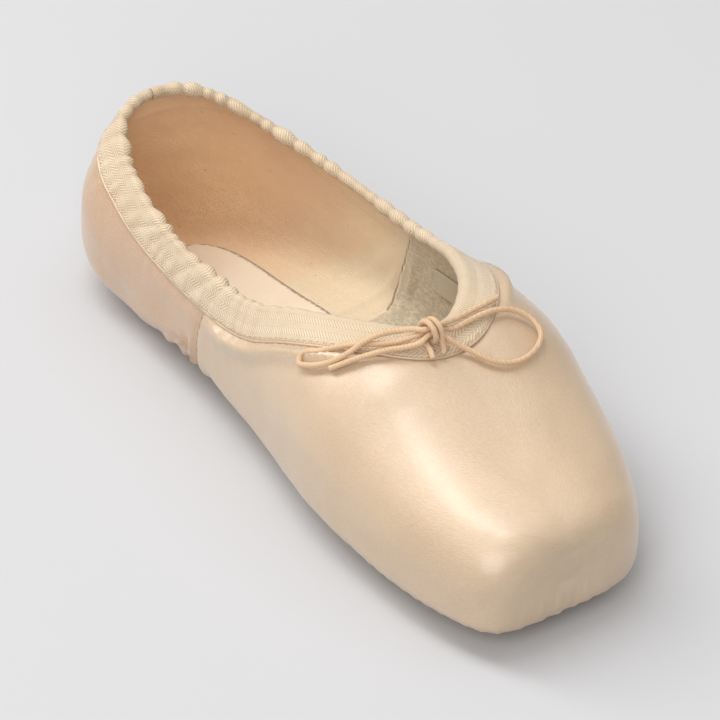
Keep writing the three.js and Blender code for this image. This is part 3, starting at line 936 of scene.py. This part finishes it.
def satin_rise(grid):
    """How far the satin stands off the last: folds, pleats, the roll under the binding."""
    at, up, side, below, rim = (grid[k] for k in ("at", "up", "side", "below", "rim"))
    wing = smooth(at, 84, 104) * (1 - smooth(at, 146, 160))
    rise = crease(grid, CREASES) + pleats(grid)
    # the wings' roll under the binding, and the groove along its edge
    rise += 2.4 * wing * np.exp(-((below - 12.6) / 2.2) ** 2)
    rise -= (0.45 + 0.35 * wing) * np.exp(-((below - 9.9) / 1.4) ** 2)
    # the binding's gathers, dying away below it
    gathered = PULL[rim] * BULGE[rim] * np.exp(-np.clip(below - 9.0, 0, None) / 4.5)
    rise += 0.6 * gathered * smooth(below, 6.5, 9.0)
    # slack cloth round the heel
    soft = 1 - smooth(at, 84, 104)
    rise += soft * 0.25 * np.sin(at * 0.21 + up * 0.13) * np.sin(up * 0.23 - at * 0.07 + 1.0)
    # fine pleats fanning back from the side seams
    reach, bearing = np.hypot(at - 83.0, up - 22.0), np.arctan2(83.0 - at, 22.0 - up)
    fan = smooth(reach, 3.0, 8.0) * (1 - smooth(reach, 15.0, 30.0))
    fan *= smooth(bearing, 0.0, 0.25) * (1 - smooth(bearing, 1.05, 1.5))
    rise += 0.42 * fan * np.sin(bearing * 21.0 + 0.8 * np.sin(reach * 0.2))
    # ripples beside the sole
    low = np.exp(-((up - 6.5) / 4.0) ** 2) * (1 - smooth(at, 150, 190))
    rise += 0.10 * low * np.sin(at * 0.42 + 0.6 * np.sin(at * 0.13))
    # upright creases low on the platform
    front = smooth(at, 229.0, 231.8) * (1 - smooth(up, 10, 19))
    for offset, size in PLATFORM_CREASES:
        rise += front * size * np.exp(-((side - offset - 0.05 * (up - 10)) / 1.1) ** 2)
    return rise


class SHOE_OT_upper(bpy.types.Operator):
    """Satin upper: drawn over the box, pleated under the sole and soft round the heel"""
    bl_idname = "shoe.upper"
    bl_label = "Satin upper"

    def execute(self, context):
        sizes, colours = context.scene.shoe_sizes, context.scene.shoe_colours
        grid = skin_grid(164)
        at, up, side, below = (grid[k] for k in ("at", "up", "side", "below"))
        rise = satin_rise(grid)
        points, normal = grid["points"].reshape(-1, 3), grid["normal"].reshape(-1, 3)
        seams = np.minimum.reduce(
            [to_line(points, seam_line(SIDE_SEAM, s))[0] for s in (1, -1)]
            + [np.where((at < 20) & (up > 3.2), np.abs(side), 50.0).ravel()])
        ahead = (at - np.interp(up, *np.array(SIDE_SEAM[::-1])[:, ::-1].T)).ravel()
        rise = rise.ravel() - 0.55 * np.exp(-(seams / 0.8) ** 2)
        clear = smooth(below.ravel(), 9.0, 12.0)
        rise += 0.7 * clear * smooth(ahead, 0.2, 2.6) * (1 - smooth(ahead, 10.0, 45.0))
        outer = points + normal * rise[:, None]
        inner = outer - normal * sizes.satin / MM
        quads = grid_quads(*at.shape)
        keep = (below.ravel()[quads] > 0.7).all(1)
        low = 1 - smooth(up, 2.5, 8.0)
        face = smooth(at, 224.0, 233.0)
        traits = {
            "weave": grid["weave"],
            "seam": seams,
            # painted shade and soil: darker near the floor and on the platform
            "soil_and_shade": np.clip(0.25 * low + 0.30 * face, 0, 1).ravel(),
            # painted shade: mask of the darker warmer satin behind the side seams, round the heel
            "heel_shade_mask": 0.8 * (1 - smooth(ahead, -1.0, 1.0)),
        }
        add_mesh("satin_upper", satin_finish(colours), "satin", ["upper"],
                 *shell(quads[keep], outer, inner, traits))
        return {"FINISHED"}


class SHOE_OT_lining(bpy.types.Operator):
    """Drill lining, with the seam and canvas of the wings ahead of it"""
    bl_idname = "shoe.lining"
    bl_label = "Lining"

    def execute(self, context):
        colours = context.scene.shoe_colours
        grid = skin_grid(140)
        at, up, below = (grid[k] for k in ("at", "up", "below"))
        points, normal = grid["points"].reshape(-1, 3), grid["normal"].reshape(-1, 3)
        thick = wall(at) + 1.6 * smooth(at, 205, 230)
        points = points + normal * np.minimum(satin_rise(grid), 0).reshape(-1, 1)
        inner = points - normal * thick.reshape(-1, 1)
        rise = crease(grid, LINING_FOLDS).ravel()
        seam, ridge = (
            np.minimum(*(to_line(inner, seam_line(rows, hand, 1.0))[0] for hand in (1, -1)))
            for rows in (WING_SEAM, WING_RIDGE))
        seam_at = np.interp(up, *np.array(WING_SEAM[::-1])[:, ::-1].T).ravel()
        beyond = at.ravel() - seam_at
        rise += 0.55 * np.exp(-ridge ** 2) - 0.5 * np.exp(-(seam / 0.8) ** 2)
        rise += 0.45 * smooth(beyond, 0.0, 1.0) * (1 - smooth(beyond, 5.0, 9.0))
        rise += 0.16 * (np.sin(at * 0.25 + up * 0.2) * np.sin(up * 0.3 - at * 0.1)).ravel()
        inner = inner - normal * rise[:, None]
        outer = points - normal * LINING_DEPTH
        quads = grid_quads(*at.shape)
        keep = (below.ravel()[quads] > 0.7).all(1)
        traits = {
            "weave": grid["weave"],
            "seam": seam,
            "wing": (0.5 * smooth(at - up, -5.0, 50.0) + 0.4 * smooth(at - up, 47.0, 53.0)).ravel(),
            "canvas": smooth(beyond, 0.2, 1.4),
        }
        add_mesh("lining", lining_finish(colours), "lining", ["upper"],
                 *shell(quads[keep], outer, inner, traits))
        return {"FINISHED"}


def tape_rows(sizes):
    """The binding's outer face from its lower edge over the rim to its turn-in, row by row."""
    lift, gather = sizes.tape_lift / MM, sizes.gather / MM
    width, turn = sizes.tape_width / MM, sizes.tape_turn / MM
    thick = wall(RIM["at"][0])[:, None]
    pull, phase = PULL[:, None], PHASE
    rows, across = [], []
    run = RIM["run"]
    lap = 2 * math.pi * run / RIM["length"]
    flutter = 0.5 * np.sin(29 * lap) + 0.5 * np.sin(48 * lap + 1.0)

    def puff(distance):
        lean = np.interp((phase + 0.13 * distance * np.sin(2 * lap + 0.6)) % PHASE.max(), PHASE, BULGE)
        near = math.exp(-distance / 5.5)
        return gather * pull * (lean * (0.30 + 0.70 * near))[:, None] + (
            0.20 * pull * flutter[:, None] * (1 - near))

    for distance in np.concatenate([[width + 0.02, width, width - 0.12], np.linspace(width - 0.5, 0.9, 14)]):
        points, normal, _ = strip(distance)
        edge = smooth(width + 0.05 - distance, 0.0, 0.35)
        height = edge * (lift + 0.30 * math.exp(-(distance / 2.4) ** 2)) + 0.05
        rows.append(points + normal * (height + edge * puff(distance)))
        across.append(width - distance)
    rim, normal, _ = strip(0.0)
    up = -RIM["down"]
    centre = rim - normal * thick / 2
    for angle in np.linspace(0, math.pi, 11):
        out, over = math.cos(angle), math.sin(angle)
        reach = thick / 2 + lift + 0.30 + 0.10 * pull
        push = puff(0.0) * (0.85 + 0.5 * over)
        rows.append(centre + normal * out * (reach + push) + up * over * (reach * 0.95 + push))
        across.append(width + angle * 1.5)
    for distance in np.concatenate([np.linspace(0.8, turn - 0.15, 5), [turn, turn + 0.02]]):
        points, normal, at = strip(distance)
        edge = smooth(turn + 0.05 - distance, 0.0, 0.3)
        height = wall(at)[:, None] + 0.05 + edge * (lift + 0.35 * math.exp(-distance))
        rows.append(points - normal * (height + edge * puff(distance) * 0.8))
        across.append(width + 4.7 + distance)
    return rows, across


class SHOE_OT_binding(bpy.types.Operator):
    """Herringbone tape folded over the rim as a casing for the drawstring, with a satin lip"""
    bl_idname = "shoe.binding"
    bl_label = "Binding"

    def execute(self, context):
        sizes, colours = context.scene.shoe_sizes, context.scene.shoe_colours
        rows, across = tape_rows(sizes)
        face = np.stack(rows)
        ahead = np.roll(face, -1, 1) - np.roll(face, 1, 1)
        normal = unit(np.cross(ahead, np.gradient(face, axis=0)))
        outward_way = np.sign(np.sum(normal[5] * strip(5.0)[1], -1).mean())
        back = face - normal * outward_way * 0.32
        count, run = face.shape[0], RIM_STEPS
        i, j = np.meshgrid(np.arange(count - 1), np.arange(run), indexing="ij")
        here, beside = i * run + j, i * run + (j + 1) % run
        quads = np.stack([here, beside, beside + run, here + run], -1).reshape(-1, 4)
        if outward_way < 0:
            quads = quads[:, ::-1]
        # painted shade: how strongly the tape is darkened in each pinch between gathers
        pinch_shade = np.clip(-BULGE * PULL * 1.6, 0, 1)
        traits = {
            "weave": np.stack([
                np.tile(RIM["run"], count), np.repeat(across, run), np.zeros(count * run)], 1),
            "pinch_shade": np.tile(pinch_shade, count),
        }
        add_mesh("binding_tape", tape_finish(colours), "tape", ["binding"],
                 *shell(quads, face.reshape(-1, 3), back.reshape(-1, 3), traits))
        points, normal, _ = strip(sizes.tape_width / MM + 0.25)
        line = points + normal * 0.12
        lip, faces = tube(line, 0.42, 8, closed=True)
        none = np.zeros(8 * run)
        traits = {
            "weave": np.stack([np.repeat(RIM["run"], 8), np.tile(np.arange(8) * 0.3, run), none], 1),
            "seam": none + 9.0, "soil_and_shade": none, "heel_shade_mask": none,
        }
        add_mesh("binding_lip", satin_finish(colours), "satin", ["binding"], lip, faces, traits)
        return {"FINISHED"}


class SHOE_OT_insole(bpy.types.Operator):
    """Raised insole pad with a rough edge"""
    bl_idname = "shoe.insole"
    bl_label = "Insole"

    def execute(self, context):
        sizes, colours = context.scene.shoe_sizes, context.scene.shoe_colours
        heel, toe = PAD[0][0], PAD[-1][0]
        at = bunched(heel, toe, 4.4, 26, np.arange(37.5, 194.0, 1.25))
        across = np.sin(np.linspace(-math.pi / 2, math.pi / 2, 61))
        seed = np.random.default_rng(3)
        marks = at[:, None] + np.array([[0.0, 400.0]])
        rough = np.interp(marks, np.arange(0, 640, 1.6), seed.normal(0, 1, 400))
        half = pad_half(at)
        ragged = smooth(at, 40, 52) * (1 - smooth(at, 150, 190))
        left = half + rough[:, 0] * 0.28 * ragged
        right = half + rough[:, 1] * 0.28 * ragged
        side = np.where(across[None, :] < 0, left[:, None], right[:, None]) * across[None, :]
        station = np.repeat(at[:, None], len(across), 1)
        inset = np.minimum(half[:, None] - np.abs(side), np.minimum(at - heel, toe - at)[:, None])
        inset = np.clip(inset, 0, None)
        floor = floor_height(station, side) + wall(station)
        thick = sizes.pad / MM
        top = floor + 0.12 + thick * np.clip(inset / 1.1, 0, 1) ** 0.5
        top += 0.10 * np.sin(station * 0.31 + side * 0.2) * smooth(inset, 0, 3)
        points = place(station, side, top)
        under = place(station, side, floor + 0.02)
        traits = {
            "weave": np.stack([station.ravel(), side.ravel(), np.zeros(side.size)], 1),
            "edge": inset.ravel(),
        }
        add_mesh("insole_pad", insole_finish(colours), "sock", ["insole"],
                 *shell(patch_quads(*station.shape), points.reshape(-1, 3), under.reshape(-1, 3), traits))
        return {"FINISHED"}


class SHOE_OT_outsole(bpy.types.Operator):
    """Leather outsole with a channel for its stitches and a rounded edge"""
    bl_idname = "shoe.outsole"
    bl_label = "Outsole"

    def execute(self, context):
        colours = context.scene.shoe_colours
        heel, toe = SOLE[0][0], SOLE[-1][0]
        at = bunched(heel, toe, 4.6, 34, np.arange(32.6, 196.0, 1.1))
        across = np.sin(np.linspace(-math.pi / 2, math.pi / 2, 73))
        half = sole_half(at)[:, None]
        side = half * across[None, :]
        station = np.repeat(at[:, None], len(across), 1)
        inset = np.minimum(half - np.abs(side), np.minimum(at - heel, toe - at)[:, None])
        inset = np.clip(inset, 0, None)
        top = floor_height(station, side) - 0.25
        low = np.minimum(sole_floor(station), top - 1.0)
        rounding = 0.75 * (1 - np.sqrt(np.clip(1 - (1 - np.clip(inset / 0.9, 0, 1)) ** 2, 0, 1)))
        channel = 0.35 * np.exp(-((inset - 3.0) / 0.55) ** 2)
        under = place(station, side, low + rounding + channel)
        over = place(station, side, top - 0.4 * rounding)
        traits = {
            "weave": np.stack([station.ravel(), side.ravel(), np.zeros(side.size)], 1),
            "edge": inset.ravel(),
        }
        add_mesh("outsole_leather", sole_finish(colours), "sole_leather", ["outsole"],
                 *shell(patch_quads(*station.shape), over.reshape(-1, 3), under.reshape(-1, 3), traits))
        return {"FINISHED"}


# ---- the drawstring's bow ------------------------------------------------------------------------
def over_vamp(at, side, lift):
    at, side = np.asarray(at, float), np.asarray(side, float)
    return place(at, side, side_height(at, side) + lift)


KNOT_RADIUS, KNOT_TURNS, KNOT_WIDTH, CLEARANCE = 3.15, 1.75, 3.7, 0.4
KNOT_CENTRE = over_vamp(162.2, -5.6, 5.5)
LEFT_LOOP = [
    # at, side, height over the upper
    (160.0, -12.0, 3.2), (158.4, -16.0, 2.5), (155.9, -20.0, 2.3), (153.0, -23.2, 2.2),
    (149.6, -26.7, 2.0), (146.2, -30.2, 1.9), (143.0, -32.8, 1.9), (140.6, -34.0, 2.0),
    (139.2, -35.6, 2.2), (140.6, -37.2, 2.5), (143.8, -36.6, 2.4), (147.6, -34.8, 2.3),
    (151.0, -31.6, 2.4), (153.0, -27.6, 2.9), (154.3, -23.4, 4.3), (155.2, -19.0, 4.3),
    (157.0, -14.2, 4.2), (159.8, -9.8, 5.2),
]
FAR_END = [
    (161.4, 1.0, 4.7), (160.0, 5.6, 3.1), (158.7, 11.0, 2.4), (157.8, 16.2, 2.4), (156.2, 21.6, 2.4),
]
RIGHT_LOOP = [
    (162.2, 1.6, 2.8), (161.6, 7.0, 2.3), (160.8, 13.0, 2.3), (160.4, 18.6, 2.2), (161.2, 24.0, 2.2),
    (164.4, 28.2, 2.2), (169.2, 28.6, 2.2), (173.4, 24.6, 2.0), (175.8, 18.8, 1.6),
    (176.0, 13.2, 1.6), (173.8, 8.4, 1.7), (170.0, 4.4, 1.8), (167.4, 1.4, 2.2), (165.0, -1.6, 3.6),
]
NEAR_END = [
    (163.1, -9.6, 3.6), (161.4, -14.0, 2.5), (159.4, -18.6, 2.3), (157.6, -23.0, 2.2),
    (155.6, -27.2, 2.1), (153.2, -31.0, 1.8), (151.4, -33.4, 1.8),
]


def laid(rows):
    return [over_vamp(at, side, lift + CLEARANCE) for at, side, lift in rows]


def in_knot(x, y, z):
    return KNOT_CENTRE + np.array([x, y, z], float)


def knot_route():
    wrap = []
    for i in range(15):
        angle = math.pi * (1.5 - 2 * KNOT_TURNS * i / 14)
        wrap.append(in_knot(
            KNOT_RADIUS * math.cos(angle), KNOT_WIDTH * i / 14 - 1.9, KNOT_RADIUS * math.sin(angle)))
    start = [over_vamp(167.4, -7.9, 2.3), over_vamp(166.4, -7.8, 2.7), over_vamp(164.8, -7.6, 2.7)]
    end = [over_vamp(165.7, -3.7, 4.2), over_vamp(166.5, -3.7, 3.0), over_vamp(167.2, -4.2, 2.1)]
    return start + wrap + end


def left_route():
    return [in_knot(-0.95, -0.5, -0.55), in_knot(-1.2, -3, -0.8), *laid(LEFT_LOOP),
            in_knot(-0.2, -2.2, 1.1), in_knot(0, 0, 1.1), in_knot(0, 2.4, 1), *laid(FAR_END)]


def right_route():
    return [in_knot(-0.95, 0.5, -0.55), in_knot(-0.6, 3, -0.8), *laid(RIGHT_LOOP),
            in_knot(0.9, 1.2, -0.55), in_knot(0.9, -1.6, -0.55), *laid(NEAR_END)]


def add_cord(name, route, finish, diameter):
    """A drawstring strand laid along its route, at its real length and thickness."""
    line = spline(np.array(route), 8) * MM
    data = bpy.data.curves.new(name, "CURVE")
    data.dimensions = "3D"
    data.bevel_depth = diameter / 2
    data.bevel_resolution = 4
    data.use_fill_caps = True
    strand = data.splines.new("POLY")
    strand.points.add(len(line) - 1)
    strand.points.foreach_set("co", np.hstack([line, np.ones((len(line), 1))]).ravel())
    strand.use_smooth = True
    data.materials.append(finish)
    piece = bpy.data.objects.new(name, data)
    bpy.context.scene.collection.objects.link(piece)
    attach(piece, "root")
    return piece


class SHOE_OT_bow(bpy.types.Operator):
    """Drawstring bow: the knot's wraps, the narrow loop and the round loop with their ends"""
    bl_idname = "shoe.bow"
    bl_label = "Bow"

    def execute(self, context):
        diameter = context.scene.shoe_sizes.cord
        finish = cord_finish(context.scene.shoe_colours)
        for name, node, route, end in (
            ("cord_knot", "bow_knot", knot_route(), "object"),
            ("cord_left", "bow_left", left_route(), "bare"),
            ("cord_right", "bow_right", right_route(), "bare"),
        ):
            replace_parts(add_cord(name, route, finish, diameter), node)
        return {"FINISHED"}


class SHOE_OT_stitching(bpy.types.Operator):
    """Thread: the row that holds the binding"""
    bl_idname = "shoe.stitching"
    bl_label = "Stitching"

    def execute(self, context):
        sizes, colours = context.scene.shoe_sizes, context.scene.shoe_colours
        points, normal, _ = strip(sizes.tape_width / MM - 0.9)
        line = points + normal * (sizes.tape_lift / MM + 0.12)
        spacing = sizes.stitch / MM
        count = int(RIM["length"] / spacing)
        parts = []
        for k in range(count):
            s = (np.array([0.16, 0.3, 0.5, 0.7, 0.84]) + k) * RIM["length"] / count
            spot = np.stack([np.interp(s, RIM["run"], line[:, axis], period=RIM["length"])
                             for axis in range(3)], 1)
            facing = normal[int(k * RIM_STEPS / count)]
            spot -= facing * np.array([0.35, 0.05, 0.0, 0.05, 0.35])[:, None]
            parts.append(tube(spot, np.array([0.10, 0.17, 0.19, 0.17, 0.10]), 6))
        add_mesh("binding_stitches", thread_finish(colours), "thread", (), *joined(parts))
        return {"FINISHED"}


class SHOE_OT_label(bpy.types.Operator):
    """Blank ribbon label inside the wing"""
    bl_idname = "shoe.label"
    bl_label = "Label"

    def execute(self, context):
        at, up = np.meshgrid(np.linspace(102.0, 114.0, 30), np.linspace(22.0, 30.5, 22), indexing="ij")
        turn = side_turn(at.ravel(), up.ravel())
        root = np.sqrt(at.ravel())
        points = on_last(root, turn)
        normal = outward(points, root, *slopes(root, turn))
        depth = wall(at.ravel()) + LABEL_PROUD
        face = points - normal * depth[:, None]
        back = face + normal * LABEL_SUNK
        quads = patch_quads(30, 22)[:, ::-1]
        traits = {"weave": np.stack([at.ravel(), up.ravel(), np.zeros(at.size)], 1)}
        add_mesh("label_ribbon", label_finish(context.scene.shoe_colours), "tape", (),
                 *shell(quads, face, back, traits))
        return {"FINISHED"}


# ---- the stage -----------------------------------------------------------------------------------
def aim(piece, target):
    way = Vector(target) - piece.location
    piece.rotation_euler = way.to_track_quat("-Z", "Y").to_euler()


def add_light(name, where, size, watts):
    light = bpy.data.lights.new(name, "AREA")
    light.shape = "RECTANGLE"
    light.size, light.size_y = size
    light.energy = watts
    light.color = LIGHT_COLOUR
    lamp = bpy.data.objects.new(name, light)
    lamp.location = where
    bpy.context.scene.collection.objects.link(lamp)
    aim(lamp, (0.0, 0.0, 0.0))


CAMERA_PLACE, CAMERA_AIM, CAMERA_LENS = (0.8336, -0.5521, 0.7846), (-0.0061, 0.0047, 0.0142), 211.0
FLOOR_REACH = 4.0
LIGHTS = (
    # name, place, size, watts
    ("softbox", (-0.05, 0.45, 1.75), (1.8, 1.6), 5.0),
    ("strip", (-0.75, -0.36, 1.42), (0.44, 2.1), 21.0),
    ("fill", (0.95, -1.0, 1.15), (1.2, 1.2), 13.0),
)
LIGHT_COLOUR = (1.0, 0.985, 0.97)
SURROUNDINGS, SURROUNDINGS_STRENGTH = (1.0, 0.975, 0.94, 1.0), 0.42


class SHOE_OT_stage(bpy.types.Operator):
    """Camera, pale floor, three soft lights and pale surroundings"""
    bl_idname = "shoe.stage"
    bl_label = "Stage"

    def execute(self, context):
        scene = context.scene
        middle = (CAD_BOX[0] + CAD_BOX[1]) / 2
        camera = bpy.data.cameras.new("camera")
        camera.lens = CAMERA_LENS
        camera.sensor_width = 36.0
        camera.clip_end = 20.0
        viewer = bpy.data.objects.new("camera", camera)
        viewer.location = CAMERA_PLACE
        scene.collection.objects.link(viewer)
        aim(viewer, CAMERA_AIM)
        scene.camera = viewer
        mesh = bpy.data.meshes.new("floor")
        corners = [(x * FLOOR_REACH, y * FLOOR_REACH, 0) for x, y in ((-1, -1), (1, -1), (1, 1), (-1, 1))]
        mesh.from_pydata(corners, [], [(0, 1, 2, 3)])
        mesh.materials.append(floor_finish(scene.shoe_colours))
        floor = bpy.data.objects.new("floor", mesh)
        floor.location = (middle[0], middle[1], -0.0002)
        scene.collection.objects.link(floor)
        for name, where, size, watts in LIGHTS:
            add_light(name, where, size, watts)
        world = bpy.data.worlds.new("surroundings")
        world.use_nodes = True
        background = world.node_tree.nodes["Background"].inputs
        background["Color"].default_value = SURROUNDINGS
        background["Strength"].default_value = SURROUNDINGS_STRENGTH
        scene.world = world
        scene.view_settings.view_transform = "Standard"
        return {"FINISHED"}


class SHOE_PT_panel(bpy.types.Panel):
    """Lists the shoe's sizes, colours and pieces in the order they are made"""
    bl_idname = "SHOE_PT_panel"
    bl_label = "Pointe Shoe"
    bl_space_type = "VIEW_3D"
    bl_region_type = "UI"
    bl_category = "Shoe"

    def draw(self, context):
        layout = self.layout
        for group in (context.scene.shoe_sizes, context.scene.shoe_colours):
            column = layout.column(align=True)
            for name in group.__annotations__:
                column.prop(group, name)
        column = layout.column(align=True)
        for operator in OPERATORS:
            column.operator(operator.bl_idname)


OPERATORS = (
    SHOE_OT_stage, SHOE_OT_bow, SHOE_OT_upper, SHOE_OT_lining, SHOE_OT_binding, SHOE_OT_insole,
    SHOE_OT_outsole, SHOE_OT_stitching, SHOE_OT_label,
)
CLASSES = (ShoeSizes, ShoeColours, *OPERATORS, SHOE_PT_panel)


def register():
    for kind in CLASSES:
        bpy.utils.register_class(kind)
    bpy.types.Scene.shoe_sizes = bpy.props.PointerProperty(type=ShoeSizes)
    bpy.types.Scene.shoe_colours = bpy.props.PointerProperty(type=ShoeColours)


def unregister():
    del bpy.types.Scene.shoe_colours, bpy.types.Scene.shoe_sizes
    for kind in reversed(CLASSES):
        bpy.utils.unregister_class(kind)


def main():
    register()
    for step in ("stage", "bow", "upper", "lining", "binding", "insole", "outsole", "stitching", "label"):
        getattr(bpy.ops.shoe, step)()


if __name__ == "__main__":
    main()
